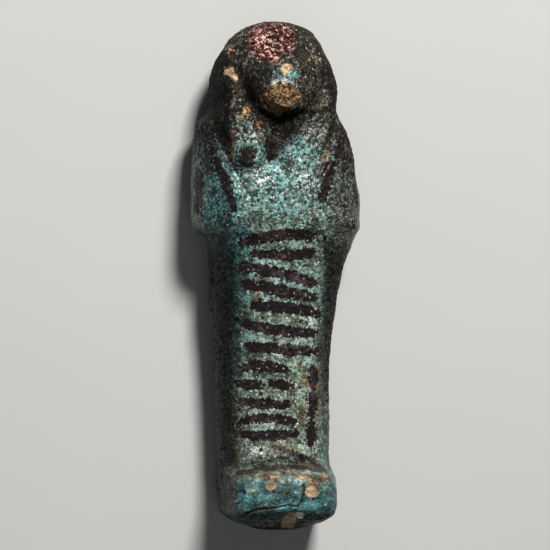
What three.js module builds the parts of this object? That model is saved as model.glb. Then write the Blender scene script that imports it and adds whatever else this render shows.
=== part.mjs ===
// Ushabti: a small mummy-shaped tomb figure, moulded in faience in one piece.
//
// It lies on its flattened back. X runs across the figure, +Y points to the crown,
// +Z points up, out of its front. The origin is below the middle of the figure, on
// the surface that it lies on. All sizes are in millimetres. Heights along the body,
// called "up", are measured from the sole of the feet.
import * as THREE from "three";

// ---------------------------------------------------------------- driving sizes

const HEIGHT = 100;                // sole to crown
const RINGS = [                    // bands of cross-sections: [from, to, how many]
  [0, 4, 5],                       // rounded edge of the sole
  [4, 11, 5],                      // toes
  [11, 15, 6],                     // instep
  [15, 18, 2],                     // ankles
  [18, 53, 9],                     // shins and thighs
  [53, 63, 9],                     // elbows
  [63, 80, 18],                    // folded arms, chest and wig lappets
  [80, 87, 11],                    // jaw
];
const CROWN_RINGS = 19;            // cross-sections of the domed top of the wig
const SEGMENTS = 58;               // points around each cross-section
const CROWD = [0.3, 0.52];         // how far these crowd to the front, on body and head
const CROWD_CHANGE = [62, 80];     // and the heights between which it changes

// Outlines along the body, as [up, distance]. The figure is not quite symmetric:
// its right elbow ends in a step, and its left one runs out in a slope.
const RIGHT_SIDE = [
  [0, 3.4], [0.5, 4.8], [1.2, 7], [2.2, 9], [3.4, 10], [6, 10.3], [12, 10.6], [20, 11.1],
  [30, 11.4], [40, 11.9], [48, 12.6], [54, 12.6], [57, 13.1], [59.4, 15.7], [63, 16.3],
  [69, 16.1], [76, 15.8], [79.6, 15.4], [81.6, 13.6], [83.6, 12.4], [87, 12.8],
  [91, 12.6], [94.5, 12.1], [97.5, 12.5],
];
const LEFT_SIDE = [
  [0, 4], [0.5, 5.6], [1.2, 8], [2.2, 10.2], [3.4, 11.2], [6, 11.5], [10, 11.4],
  [13, 11], [20, 11.4], [30, 11.3], [40, 12.1], [46, 13], [52, 14.2], [57, 16],
  [60, 16.9], [64, 16.9], [69, 16.2], [74, 15.5], [78, 14.4], [80.4, 13.1], [82.6, 12.3],
  [87, 12.5], [91, 11.85], [93.5, 11.6], [95.7, 11.8], [98.8, 13.4],
];
const FRONT = [
  [0, 18.2], [1.6, 21.2], [3.2, 23.6], [4.8, 24.9], [6.6, 25.2], [9.6, 24.7],
  [11.6, 23.4], [13, 20.6], [14.2, 18.9], [16, 18.2], [22, 17.8], [32, 18.2], [44, 19.2],
  [54, 20.4], [58, 21.2], [62, 22.3], [66, 22.9], [70, 22.7], [75, 21.8], [80, 21.2],
  [84, 21.9], [87, 22.4],
];
const BACK = [
  [0, 3], [1.4, 1.2], [4, -0.2], [8, -0.8], [20, -0.6], [30, -0.3], [38, -0.5],
  [50, -0.9], [70, -1], [79, -0.5], [83, 0.3], [87, 0.8],
];
const WIDEST = [                   // height above the floor of the widest line
  [0, 11], [12, 10.4], [20, 8.8], [40, 9], [60, 10.6], [80, 10.8], [87, 11.2],
];
const SQUARENESS = [               // 2 is an ellipse, more is nearer a rectangle
  [0, 3.2], [3, 4.2], [10, 4.4], [12.5, 3], [15, 2.4], [20, 2.25], [50, 2.2], [60, 2.5],
  [76, 2.5], [87, 2.1],
];

const CROWN = { base: 87, squareness: 2.12 };
const TOE_ARCH = { bend: 0.019, from: 16, to: 26 };  // instep lines drop to both sides

// Carved forms are swellings and hollows of the front. Each has its height, its place
// as aside (from the middle line) and up, and its size as rx (across) and ry (along).
const FACE = {                     // an oval inside the wig
  middle: 91, halfWidth: 8, above: 4.6, below: 10.4, swell: 1.5, forehead: [89.5, 94],
};
const MUZZLE = { height: 3, aside: 0, up: 85, rx: 4.3, ry: 4.8, edge: [0.76, 1.08] };
const NOSE = { height: 0.9, aside: 0, up: 86.6, rx: 1.2, ry: 2.4 };
const WIG_GROOVE = { jaw: 1.1, forehead: 0.25, at: 1.04, halfWidth: 0.21 };
const FACE_PAIRS = [               // the same on both sides
  { height: -0.5, aside: 3.3, up: 88.3, rx: 2, ry: 1.2 },        // eye sockets
  { height: 0.42, aside: 3.3, up: 88.2, rx: 1.35, ry: 0.6 },     // eyeballs
  { height: 0.32, aside: 3.3, up: 90.2, rx: 2.3, ry: 0.6 },      // brows
  { height: 0.3, aside: 4.3, up: 85.5, rx: 1.9, ry: 1.8 },       // cheeks
];
const BREAK = { up: 84.9, height: 24.5, tilt: 0.08, lean: -0.03, reach: 5.4 };

const LAPPETS = [                  // centre lines as [aside, up], wig to chest
  { path: [[-10.3, 86], [-8.4, 80.2], [-7.1, 76.6], [-6.9, 73.9]], halfWidth: 2.8, height: 1.6 },
  { path: [[10.1, 86], [8, 80.6], [5.7, 76.6], [2.9, 73.6]], halfWidth: 2.4, height: 1.4 },
];
const LAPPET = { edge: 1.1, crown: 0.25, face: [0.88, 1.14] };  // slopes, roundness, start
const NECK = {                     // the lopsided V of bare chest between the lappets
  depth: 1.1, slope: [0.5, 1.2], fade: 1,
  bottom: { up: 72.4, aside: -2.6, halfWidth: 0.7 },
  top: { up: 82, aside: 1.6, halfWidth: 5 },
};

const ARMS = {                     // raised outside a line that runs in to the hands
  height: 1.1, middle: -1.3, innerTop: 12.2, innerBottom: 4.2, top: 82.5, meet: 62.5,
  curve: 1.9, edge: 1.3, closed: [66.5, 61.5], shoulder: [80, 83.5],
};
const ELBOW_LINE = { up: 58.8, sharp: 1, soft: 4.5, middle: [4, 13] };
const FISTS = [
  { height: 0.7, aside: -5.4, up: 67.2, rx: 3.4, ry: 2.6 },
  { height: 0.6, aside: 3.9, up: 67.6, rx: 3.2, ry: 2.4 },
];
const FRONT_ONLY = { turn: [-0.05, 0.4], crown: [0, 0.45] };  // where the carving fades in

// ---------------------------------------------------------------- small helpers

const clamp = (v, low = 0, high = 1) => Math.min(high, Math.max(low, v));

const smooth = (from, to, v) => {
  const u = clamp((v - from) / (to - from));
  return u * u * (3 - 2 * u);
};

const mix = (a, b, share) => a + (b - a) * share;

/** Height of one soft swelling or hollow at (x, up). */
const bump = (x, up, { height, aside, up: middle, rx, ry }) =>
  height * Math.exp(-(((x - aside) / rx) ** 2) - ((up - middle) / ry) ** 2);

/** Smooth curve through an outline's points that never overshoots between them. */
function follow(points) {
  const n = points.length;
  const slope = points.slice(1).map(([u, v], i) => (v - points[i][1]) / (u - points[i][0]));
  const tangent = points.map((_, i) => {
    if (i === 0) return slope[0];
    if (i === n - 1) return slope[n - 2];
    const before = slope[i - 1];
    const after = slope[i];
    return before * after <= 0 ? 0 : (2 * before * after) / (before + after);
  });
  return (u) => {
    const at = clamp(u, points[0][0], points[n - 1][0]);
    let i = 0;
    while (i < n - 2 && at > points[i + 1][0]) i += 1;
    const span = points[i + 1][0] - points[i][0];
    const s = (at - points[i][0]) / span;
    const rest = 1 - s;
    return (
      points[i][1] * (1 + 2 * s) * rest * rest +
      tangent[i] * span * s * rest * rest +
      points[i + 1][1] * s * s * (3 - 2 * s) -
      tangent[i + 1] * span * s * s * rest
    );
  };
}

/** Distance from (x, y) to an open chain of straight stretches. */
function distanceTo(path, x, y) {
  const stretches = path.slice(1).map(([bx, by], i) => {
    const [ax, ay] = path[i];
    const dx = bx - ax;
    const dy = by - ay;
    const s = clamp(((x - ax) * dx + (y - ay) * dy) / (dx * dx + dy * dy));
    return Math.hypot(x - ax - s * dx, y - ay - s * dy);
  });
  return Math.min(...stretches);
}

// ---------------------------------------------------------------- plain body form

const rightSide = follow(RIGHT_SIDE);
const leftSide = follow(LEFT_SIDE);
const front = follow(FRONT);
const back = follow(BACK);
const widest = follow(WIDEST);
const squareness = follow(SQUARENESS);

/** How much of the full section is left at this height: 1 up to the dome, 0 at the crown. */
function crownShare(up) {
  const rise = clamp((up - CROWN.base) / (HEIGHT - CROWN.base));
  return (1 - rise ** CROWN.squareness) ** (1 / CROWN.squareness);
}

/** The plain body's surface at a height, in the direction "turn" from straight up. */
function bodyPoint(up, turn) {
  const sine = Math.sin(turn);
  const cosine = Math.cos(turn);
  const share = crownShare(up);
  const middle = widest(up);
  const half = (sine < 0 ? rightSide(up) : leftSide(up)) * share;
  const aside = half * Math.abs(sine);
  const arch = TOE_ARCH.bend * (1 - smooth(TOE_ARCH.from, TOE_ARCH.to, up));
  const arched = up + arch * aside * aside;
  const reach = (cosine > 0 ? front(arched) - middle : middle - back(up)) * share;
  const n = squareness(up);
  const radius =
    (Math.abs(sine / half) ** n + Math.abs(cosine / reach) ** n) ** (-1 / n);
  return { x: radius * sine, z: middle + radius * cosine };
}

// ---------------------------------------------------------------- carving

/** The face's oval as a number: 0 in its middle, 1 on its edge, more outside. */
function faceOval(x, up) {
  const tall = up > FACE.middle ? FACE.above : FACE.below;
  return Math.hypot(x / FACE.halfWidth, (up - FACE.middle) / tall);
}

/** The face's swelling, features and the groove where the wig frames it. */
function face(x, up) {
  const oval = faceOval(x, up);
  const below = 1 - smooth(...FACE.forehead, up);
  const inside = 1 - smooth(...MUZZLE.edge, oval);
  const groove = mix(WIG_GROOVE.forehead, WIG_GROOVE.jaw, below);
  let height = FACE.swell * Math.max(0, 1 - oval * oval) * below;
  height += bump(x, up, MUZZLE) * inside + bump(x, up, NOSE);
  height -= groove * Math.exp(-(((oval - WIG_GROOVE.at) / WIG_GROOVE.halfWidth) ** 2));
  for (const feature of FACE_PAIRS) height += bump(Math.abs(x), up, feature);
  return height;
}

function wigLappets(x, up) {
  const heights = LAPPETS.map(({ path, halfWidth, height }) => {
    const away = distanceTo(path, x, up);
    const rounded = 1 - LAPPET.crown * clamp(away / halfWidth) ** 2;
    return height * rounded * smooth(halfWidth + LAPPET.edge, halfWidth - LAPPET.edge, away);
  });
  return Math.max(...heights) * smooth(...LAPPET.face, faceOval(x, up));
}

function neck(x, up) {
  const { bottom, top, fade } = NECK;
  const rise = clamp((up - bottom.up) / (top.up - bottom.up));
  const fromMiddle = Math.abs(x - mix(bottom.aside, top.aside, rise));
  const open = 1 - smooth(...NECK.slope, fromMiddle / mix(bottom.halfWidth, top.halfWidth, rise));
  const begun = smooth(bottom.up - fade, bottom.up + fade, up);
  const ended = smooth(top.up - fade, top.up + fade, up);
  return -NECK.depth * open * begun * (1 - ended);
}

/** Both arms, folded over the chest, with a fist at the end of each. */
function arms(x, up) {
  const drop = clamp((ARMS.top - up) / (ARMS.top - ARMS.meet));
  const inner = mix(ARMS.innerTop, ARMS.innerBottom, drop ** ARMS.curve);
  const beside = smooth(-ARMS.edge, ARMS.edge, Math.abs(x - ARMS.middle) - inner);
  const outside = 1 - (1 - beside) * (1 - smooth(...ARMS.closed, up));
  const soft = mix(ELBOW_LINE.soft, ELBOW_LINE.sharp, smooth(...ELBOW_LINE.middle, Math.abs(x)));
  const above = smooth(ELBOW_LINE.up - soft, ELBOW_LINE.up + soft, up);
  let height = ARMS.height * outside * above * (1 - smooth(...ARMS.shoulder, up));
  for (const fist of FISTS) height += bump(x, up, fist);
  return height;
}

/** The nose, mouth and chin are broken off: nothing there stands above this plane. */
function breakPlane(x, up) {
  const far = Math.hypot(x, up - BREAK.up) > BREAK.reach;
  return far ? Infinity : BREAK.height + BREAK.tilt * (up - BREAK.up) + BREAK.lean * x;
}

/** A finished point of the figure's surface. */
function surfacePoint(up, turn) {
  const { x, z } = bodyPoint(up, turn);
  const facing =
    smooth(...FRONT_ONLY.turn, Math.cos(turn)) * smooth(...FRONT_ONLY.crown, crownShare(up));
  const carving = face(x, up) + wigLappets(x, up) + neck(x, up) + arms(x, up);
  const carved = Math.min(z + facing * carving, Math.max(z, breakPlane(x, up)));
  return new THREE.Vector3(x, up - HEIGHT / 2, Math.max(carved, 0));
}

// ---------------------------------------------------------------- mesh

/** Heights of all cross-sections, from the sole to just under the crown. */
function ringHeights() {
  const heights = [0];
  for (const [from, to, count] of RINGS) {
    for (let i = 1; i <= count; i += 1) heights.push(from + ((to - from) * i) / count);
  }
  for (let i = 1; i < CROWN_RINGS; i += 1) {
    const rise = Math.sin((i / CROWN_RINGS) * (Math.PI / 2));
    heights.push(CROWN.base + (HEIGHT - CROWN.base) * rise);
  }
  return heights;
}

/** Direction of a place around a cross-section, counted in steps from the front. */
function turnAt(up, step) {
  const even = (2 * Math.PI * step) / SEGMENTS;
  return even - mix(...CROWD, smooth(...CROWD_CHANGE, up)) * Math.sin(even);
}

/** Two triangles for a four-sided patch, split along the diagonal that fits "middle". */
function quad(points, [a, b, c, d], middle) {
  const miss = (from, to) => points[from].clone().lerp(points[to], 0.5).distanceTo(middle);
  return miss(a, c) < miss(b, d) ? [a, b, c, a, c, d] : [a, b, d, b, c, d];
}

function figureGeometry() {
  const heights = ringHeights();
  const steps = Array.from({ length: SEGMENTS }, (_, step) => step);
  const rings = heights.map((up) => steps.map((step) => surfacePoint(up, turnAt(up, step))));
  const sole = new THREE.Vector3(0, -HEIGHT / 2, widest(0));
  const crown = new THREE.Vector3(0, HEIGHT / 2, widest(HEIGHT));
  const points = [...rings.flat(), sole, crown];
  const soleIndex = points.length - 2;
  const crownIndex = points.length - 1;
  const last = heights.length - 1;

  const faces = [];
  for (const step of steps) {
    const next = (step + 1) % SEGMENTS;
    faces.push(soleIndex, next, step);
    for (let ring = 0; ring < last; ring += 1) {
      const low = ring * SEGMENTS;
      const high = low + SEGMENTS;
      const up = (heights[ring] + heights[ring + 1]) / 2;
      const middle = surfacePoint(up, turnAt(up, step + 0.5));
      faces.push(...quad(points, [low + step, low + next, high + next, high + step], middle));
    }
    faces.push(crownIndex, last * SEGMENTS + step, last * SEGMENTS + next);
  }

  const geometry = new THREE.BufferGeometry().setFromPoints(points);
  geometry.setIndex(faces);
  geometry.computeBoundingBox();
  const middle = geometry.boundingBox.getCenter(new THREE.Vector3());
  geometry.translate(-middle.x, 0, 0);
  geometry.computeVertexNormals();
  return geometry;
}

const glaze = new THREE.MeshStandardMaterial({
  color: new THREE.Color(0.2, 0.27, 0.24),
  roughness: 0.55,
  metalness: 0,
});

const ushabti = new THREE.Group();
const figure = new THREE.Mesh(figureGeometry(), glaze);
figure.name = "figure";
ushabti.add(figure);

export default ushabti;
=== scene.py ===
"""A small faience ushabti, lying on its flattened back on a pale floor.

The figure is one piece. Its form is worked out in millimetres, as a stack of
cross-sections with the carving laid on their front, and is then weathered, stained
and painted. X runs across it, +Y points to its crown and +Z out of its front.
Heights along the body, called "up", are measured from the sole of the feet, and
"aside" is measured from its middle line.
"""

import logging
import math
from dataclasses import dataclass
from enum import Enum
from typing import Any

import bpy
import numpy as np
from mathutils import Matrix, Vector


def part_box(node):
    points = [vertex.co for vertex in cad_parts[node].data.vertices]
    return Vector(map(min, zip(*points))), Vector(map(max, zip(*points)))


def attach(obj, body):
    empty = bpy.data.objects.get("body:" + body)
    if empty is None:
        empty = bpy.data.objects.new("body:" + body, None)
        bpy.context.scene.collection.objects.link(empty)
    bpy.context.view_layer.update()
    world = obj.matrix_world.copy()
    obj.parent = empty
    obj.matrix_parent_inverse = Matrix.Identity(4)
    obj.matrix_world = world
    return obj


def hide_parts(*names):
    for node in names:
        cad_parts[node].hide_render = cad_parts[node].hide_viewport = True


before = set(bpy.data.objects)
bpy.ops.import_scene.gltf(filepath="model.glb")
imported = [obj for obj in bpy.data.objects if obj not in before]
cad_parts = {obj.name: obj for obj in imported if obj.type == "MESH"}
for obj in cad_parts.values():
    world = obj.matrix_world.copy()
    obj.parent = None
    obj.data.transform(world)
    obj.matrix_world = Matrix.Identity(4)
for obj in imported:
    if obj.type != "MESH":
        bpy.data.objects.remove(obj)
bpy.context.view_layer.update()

log = logging.getLogger("ushabti")

MM = 0.001
Point = tuple[float, float]
Colour = tuple[float, float, float]


# ---------------------------------------------------------------- plain arithmetic


def smooth(low: float, high: float, value: np.ndarray) -> np.ndarray:
    """Return a soft step.

    Args:
        low: where the step starts, at 0.
        high: where it ends, at 1. It may be the smaller of the two.
        value: the numbers to step.

    Returns:
        Numbers from 0 to 1.
    """
    share = np.clip((value - low) / (high - low), 0.0, 1.0)
    return share * share * (3.0 - 2.0 * share)


def mix(a: Any, b: Any, share: Any) -> Any:
    """Return the value that lies the given share of the way from a to b."""
    return a + (b - a) * share


@dataclass(frozen=True)
class Outline:
    """A smooth line through a few points that never overshoots between them.

    The points are (height up the body, distance).
    """

    points: tuple[Point, ...]

    def at(self, up: np.ndarray) -> np.ndarray:
        """Return the distance at each height.

        Args:
            up: heights along the body.

        Returns:
            The outline's distances there.
        """
        ups, values = np.array(self.points, float).T
        slope = np.diff(values) / np.diff(ups)
        before, after = slope[:-1], slope[1:]
        turning = before * after <= 0
        total = np.where(turning, 1.0, before + after)
        inner = np.where(turning, 0.0, 2.0 * before * after / total)
        tangent = np.concatenate([slope[:1], inner, slope[-1:]])
        up = np.clip(up, ups[0], ups[-1])
        i = np.clip(np.searchsorted(ups, up, side="right") - 1, 0, len(ups) - 2)
        span = ups[i + 1] - ups[i]
        s = (up - ups[i]) / span
        rest = 1.0 - s
        return (
            values[i] * (1.0 + 2.0 * s) * rest**2
            + tangent[i] * span * s * rest**2
            + values[i + 1] * s**2 * (3.0 - 2.0 * s)
            - tangent[i + 1] * span * s**2 * rest
        )


@dataclass(frozen=True)
class Swelling:
    """A soft swelling of the front, or a hollow where its height is negative."""

    height: float
    aside: float
    up: float
    rx: float
    ry: float

    def at(self, x: np.ndarray, up: np.ndarray) -> np.ndarray:
        """Return the swelling's height at each place."""
        across, along = (x - self.aside) / self.rx, (up - self.up) / self.ry
        return self.height * np.exp(-(across**2) - along**2)


def near_segment(
    x: np.ndarray, up: np.ndarray, start: Point, end: Point
) -> tuple[np.ndarray, np.ndarray]:
    """Measure how places lie to the straight line between two points.

    Args:
        x: how far aside each place is.
        up: its height up the body.
        start: where the line starts.
        end: where it ends.

    Returns:
        The share of the line that lies before the point nearest to each place, and
        the distance to that point.
    """
    (ax, ay), (bx, by) = start, end
    dx, dy = bx - ax, by - ay
    share = np.clip(((x - ax) * dx + (up - ay) * dy) / (dx * dx + dy * dy), 0, 1)
    return share, np.hypot(x - ax - share * dx, up - ay - share * dy)


@dataclass(frozen=True)
class Trace:
    """A line over the front, drawn through a few places."""

    path: tuple[Point, ...]

    def away(self, x: np.ndarray, up: np.ndarray) -> np.ndarray:
        """Return how far each place is from the line."""
        pairs = zip(self.path, self.path[1:])
        return np.minimum.reduce([near_segment(x, up, *ends)[1] for ends in pairs])


@dataclass(frozen=True)
class Stroke:
    """One pull of the brush: a bowed line, thickest in its middle.

    Sizes are in millimetres. A positive bow lifts the middle of the stroke to the
    left of its direction.
    """

    start: Point
    end: Point
    bow: float = 0.0
    width: float = 1.7
    end_share: float = 0.84
    belly_share: float = 0.26
    steps: int = 10

    def point(self, share: float) -> Point:
        """Return the point that lies the given share of the way along the stroke."""
        (ax, ay), (bx, by) = self.start, self.end
        dx, dy = bx - ax, by - ay
        lift = 4.0 * self.bow * share * (1.0 - share) / math.hypot(dx, dy)
        return ax + dx * share - dy * lift, ay + dy * share + dx * lift

    def edge(self, x: np.ndarray, up: np.ndarray) -> np.ndarray:
        """Return the distance to the stroke's edge, negative inside it."""
        nearest = np.full(np.shape(x), np.inf)
        for step in range(self.steps):
            ends = (self.point(k / self.steps) for k in (step, step + 1))
            share, away = near_segment(x, up, *ends)
            belly = self.belly_share * np.sin(np.pi * (step + share) / self.steps)
            half = 0.5 * self.width * (self.end_share + belly)
            nearest = np.minimum(nearest, away - half)
        return nearest


@dataclass(frozen=True)
class Patch:
    """A patch of the front with a cornered outline."""

    outline: tuple[Point, ...]

    def edge(self, x: np.ndarray, up: np.ndarray) -> np.ndarray:
        """Return the distance to the patch's outline, negative inside it."""
        closed = self.outline + self.outline[:1]
        away = Trace(closed).away(x, up)
        inside = np.zeros(np.shape(x), bool)
        for (ax, ay), (bx, by) in zip(closed, closed[1:]):
            spans = (ay > up) != (by > up)
            if ay != by:
                cross = ax + (up - ay) * (bx - ax) / (by - ay)
                inside ^= spans & (x < cross)
        return np.where(inside, -away, away)


@dataclass(frozen=True)
class Spot:
    """A rounded spot on the front."""

    aside: float
    up: float
    rx: float
    ry: float

    def edge(self, x: np.ndarray, up: np.ndarray) -> np.ndarray:
        """Return about the distance to the spot's edge, negative inside it."""
        ratio = np.hypot((x - self.aside) / self.rx, (up - self.up) / self.ry)
        return (ratio - 1.0) * min(self.rx, self.ry)


@dataclass(frozen=True)
class Zone:
    """A region of the surface with soft edges.

    Each edge is (where the zone has faded out, where it is full).
    """

    share: float
    side: Point | None = None
    foot: Point | None = None
    top: Point | None = None

    def at(self, x: np.ndarray, up: np.ndarray) -> np.ndarray:
        """Return the zone's share at each place."""
        share = np.full(np.shape(x), self.share)
        for edge, where in ((self.side, x), (self.foot, up), (self.top, up)):
            if edge:
                share = share * smooth(*edge, where)
        return share


Shape = Stroke | Patch | Spot
Area = Swelling | Zone


def nearest_edge(shapes: tuple[Shape, ...], x: np.ndarray, up: np.ndarray) -> np.ndarray:
    """Return the distance to the nearest shape's edge, negative inside it."""
    return np.minimum.reduce([shape.edge(x, up) for shape in shapes])


def strongest(areas: tuple[Area, ...], x: np.ndarray, up: np.ndarray) -> np.ndarray:
    """Return the highest value that any of the areas has at each place."""
    return np.maximum.reduce([area.at(x, up) for area in areas])


def summed(areas: tuple[Area, ...], x: np.ndarray, up: np.ndarray) -> np.ndarray:
    """Return the sum of the areas at each place."""
    return sum(area.at(x, up) for area in areas)


# ---------------------------------------------------------------- the moulded form


@dataclass(frozen=True)
class BodyForm:
    """The plain body: its outlines and cross-sections, without carving."""

    height: float = 100.0
    crown_base: float = 87.0
    crown_squareness: float = 2.12
    toe_arch: float = 0.019
    toe_arch_ends: Point = (16.0, 26.0)
    right_side: Outline = Outline((
        (0, 3.4), (0.5, 4.8), (1.2, 7), (2.2, 9), (3.4, 10), (6, 10.3), (12, 10.6),
        (20, 11.1), (30, 11.4), (40, 11.9), (48, 12.6), (54, 12.6), (57, 13.1),
        (59.4, 15.7), (63, 16.3), (69, 16.1), (76, 15.8), (79.6, 15.4), (81.6, 13.6),
        (83.6, 12.4), (87, 12.8), (91, 12.6), (94.5, 12.1), (97.5, 12.5),
    ))
    left_side: Outline = Outline((
        (0, 4), (0.5, 5.6), (1.2, 8), (2.2, 10.2), (3.4, 11.2), (6, 11.5), (10, 11.4),
        (13, 11), (20, 11.4), (30, 11.3), (40, 12.1), (46, 13), (52, 14.2), (57, 16),
        (60, 16.9), (64, 16.9), (69, 16.2), (74, 15.5), (78, 14.4), (80.4, 13.1),
        (82.6, 12.3), (87, 12.5), (91, 11.85), (93.5, 11.6), (95.7, 11.8), (98.8, 13.4),
    ))
    front: Outline = Outline((
        (0, 18.2), (1.6, 21.2), (3.2, 23.6), (4.8, 24.9), (6.6, 25.2), (9.6, 24.7),
        (11.6, 23.4), (13, 20.6), (14.2, 18.9), (16, 18.2), (22, 17.8), (32, 18.2),
        (44, 19.2), (54, 20.4), (58, 21.2), (62, 22.3), (66, 22.9), (70, 22.7), (75, 21.8),
        (80, 21.2), (84, 21.9), (87, 22.4),
    ))
    back: Outline = Outline((
        (0, 3), (1.4, 1.2), (4, -0.2), (8, -0.8), (20, -0.6), (30, -0.3), (38, -0.5),
        (50, -0.9), (70, -1), (79, -0.5), (83, 0.3), (87, 0.8),
    ))
    widest: Outline = Outline((
        (0, 11), (12, 10.4), (20, 8.8), (40, 9), (60, 10.6), (80, 10.8), (87, 11.2),
    ))
    squareness: Outline = Outline((
        (0, 3.2), (3, 4.2), (10, 4.4), (12.5, 3), (15, 2.4), (20, 2.25), (50, 2.2),
        (60, 2.5), (76, 2.5), (87, 2.1),
    ))

    def crown_share(self, up: np.ndarray) -> np.ndarray:
        """Return how much of the full section is left: 1 up to the dome, 0 at the crown."""
        rise = np.clip((up - self.crown_base) / (self.height - self.crown_base), 0, 1)
        return (1.0 - rise**self.crown_squareness) ** (1.0 / self.crown_squareness)

    def section(self, up: np.ndarray, turn: np.ndarray) -> tuple[np.ndarray, np.ndarray]:
        """Work out the plain surface.

        Args:
            up: heights along the body.
            turn: directions around it, in radians from straight up.

        Returns:
            How far aside and how high above the floor the surface is.
        """
        sine, cosine = np.sin(turn), np.cos(turn)
        share = self.crown_share(up)
        middle = self.widest.at(up)
        half = np.where(sine < 0, self.right_side.at(up), self.left_side.at(up)) * share
        arch = self.toe_arch * (1.0 - smooth(*self.toe_arch_ends, up))
        arched = up + arch * (half * np.abs(sine)) ** 2
        front = self.front.at(arched) - middle
        reach = np.where(cosine > 0, front, middle - self.back.at(up)) * share
        n = self.squareness.at(up)
        radius = (np.abs(sine / half) ** n + np.abs(cosine / reach) ** n) ** (-1.0 / n)
        return radius * sine, middle + radius * cosine


@dataclass(frozen=True)
class Carving:
    """The low carving of the front: face, wig lappets, bare chest, arms and fists."""

    face_middle: float = 91.0
    face_half_width: float = 8.0
    face_above: float = 4.6
    face_below: float = 10.4
    face_swell: float = 1.5
    forehead: Point = (89.5, 94.0)
    muzzle: Swelling = Swelling(3.0, 0.0, 85.0, 4.3, 4.8)
    muzzle_edge: Point = (0.76, 1.08)
    nose: Swelling = Swelling(0.9, 0.0, 86.6, 1.2, 2.4)
    face_pairs: tuple[Swelling, ...] = (
        Swelling(-0.5, 3.3, 88.3, 2.0, 1.2),
        Swelling(0.42, 3.3, 88.2, 1.35, 0.6),
        Swelling(0.32, 3.3, 90.2, 2.3, 0.6),
        Swelling(0.3, 4.3, 85.5, 1.9, 1.8),
    )
    groove_jaw: float = 1.1
    groove_forehead: float = 0.25
    groove_at: float = 1.04
    groove_half_width: float = 0.21

    lappets: tuple[tuple[Trace, float, float], ...] = (
        (Trace(((-10.3, 86), (-8.4, 80.2), (-7.1, 76.6), (-6.9, 73.9))), 2.8, 1.6),
        (Trace(((10.1, 86), (8, 80.6), (5.7, 76.6), (2.9, 73.6))), 2.4, 1.4),
    )
    lappet_edge: float = 0.9
    lappet_crown: float = 0.25
    lappet_start: Point = (0.88, 1.14)
    lappet_worn: Point = (78.5, 72.5)
    lappet_kept: float = 0.42

    neck_depth: float = 1.1
    neck_slope: Point = (0.3, 1.4)
    neck_fade: float = 1.0
    neck_ups: Point = (72.4, 82.0)
    neck_asides: Point = (-2.6, 1.6)
    neck_half_widths: Point = (0.7, 5.0)

    arm_height: float = 1.1
    arm_middle: float = -1.3
    arm_inner: Point = (12.2, 4.2)
    arm_ups: Point = (82.5, 62.5)
    arm_curve: float = 1.9
    arm_edge: float = 1.2
    arm_closed: Point = (66.5, 61.5)
    arm_shoulder: Point = (80.0, 83.5)
    elbow_up: float = 58.8
    elbow_softness: Point = (4.5, 1.0)
    elbow_middle: Point = (4.0, 13.0)
    fists: tuple[Swelling, ...] = (
        Swelling(0.7, -5.4, 67.2, 3.4, 2.6),
        Swelling(0.6, 3.9, 67.6, 3.2, 2.4),
    )

    def face_oval(self, x: np.ndarray, up: np.ndarray) -> np.ndarray:
        """Return the place in the face's oval: 0 in its middle, 1 on its edge."""
        tall = np.where(up > self.face_middle, self.face_above, self.face_below)
        return np.hypot(x / self.face_half_width, (up - self.face_middle) / tall)

    def face(self, x: np.ndarray, up: np.ndarray) -> np.ndarray:
        """Return the height of the face, with the groove where the wig frames it."""
        oval = self.face_oval(x, up)
        below = 1.0 - smooth(*self.forehead, up)
        inside = 1.0 - smooth(*self.muzzle_edge, oval)
        groove = mix(self.groove_forehead, self.groove_jaw, below)
        height = self.face_swell * np.maximum(0.0, 1.0 - oval**2) * below
        height += self.muzzle.at(x, up) * inside + self.nose.at(x, up)
        height -= groove * np.exp(-(((oval - self.groove_at) / self.groove_half_width) ** 2))
        for feature in self.face_pairs:
            height += feature.at(np.abs(x), up)
        return height

    def wig_lappets(self, x: np.ndarray, up: np.ndarray) -> np.ndarray:
        """Return the height of the wig's two lappets over the shoulders."""
        height = np.zeros(np.shape(x))
        for line, half_width, thick in self.lappets:
            away = line.away(x, up)
            rounded = 1.0 - self.lappet_crown * np.clip(away / half_width, 0, 1) ** 2
            edge = smooth(half_width + self.lappet_edge, half_width - self.lappet_edge, away)
            lost = smooth(*self.lappet_worn, up) * (1.0 - self.lappet_kept)
            worn = np.where(x > 0, lost, 0.0)
            height = np.maximum(height, thick * rounded * edge * (1.0 - worn))
        return height * smooth(*self.lappet_start, self.face_oval(x, up))

    def neck_opening(self, x: np.ndarray, up: np.ndarray) -> np.ndarray:
        """Return from 0 to 1 how far a place is in the V between the lappets."""
        low, high = self.neck_ups
        rise = np.clip((up - low) / (high - low), 0, 1)
        from_middle = np.abs(x - mix(*self.neck_asides, rise))
        open_ = 1.0 - smooth(*self.neck_slope, from_middle / mix(*self.neck_half_widths, rise))
        begun = smooth(low - self.neck_fade, low + self.neck_fade, up)
        ended = smooth(high - self.neck_fade, high + self.neck_fade, up)
        return open_ * begun * (1.0 - ended)

    def arms(self, x: np.ndarray, up: np.ndarray) -> np.ndarray:
        """Return the height of the folded arms, with a fist at the end of each."""
        top, meet = self.arm_ups
        drop = np.clip((top - up) / (top - meet), 0, 1)
        inner = mix(*self.arm_inner, drop**self.arm_curve)
        beside = smooth(-self.arm_edge, self.arm_edge, np.abs(x - self.arm_middle) - inner)
        outside = 1.0 - (1.0 - beside) * (1.0 - smooth(*self.arm_closed, up))
        soft = mix(*self.elbow_softness, smooth(*self.elbow_middle, np.abs(x)))
        above = smooth(-1.0, 1.0, (up - self.elbow_up) / soft)
        height = self.arm_height * outside * above * (1.0 - smooth(*self.arm_shoulder, up))
        for fist in self.fists:
            height = height + fist.at(x, up)
        return height

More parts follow.
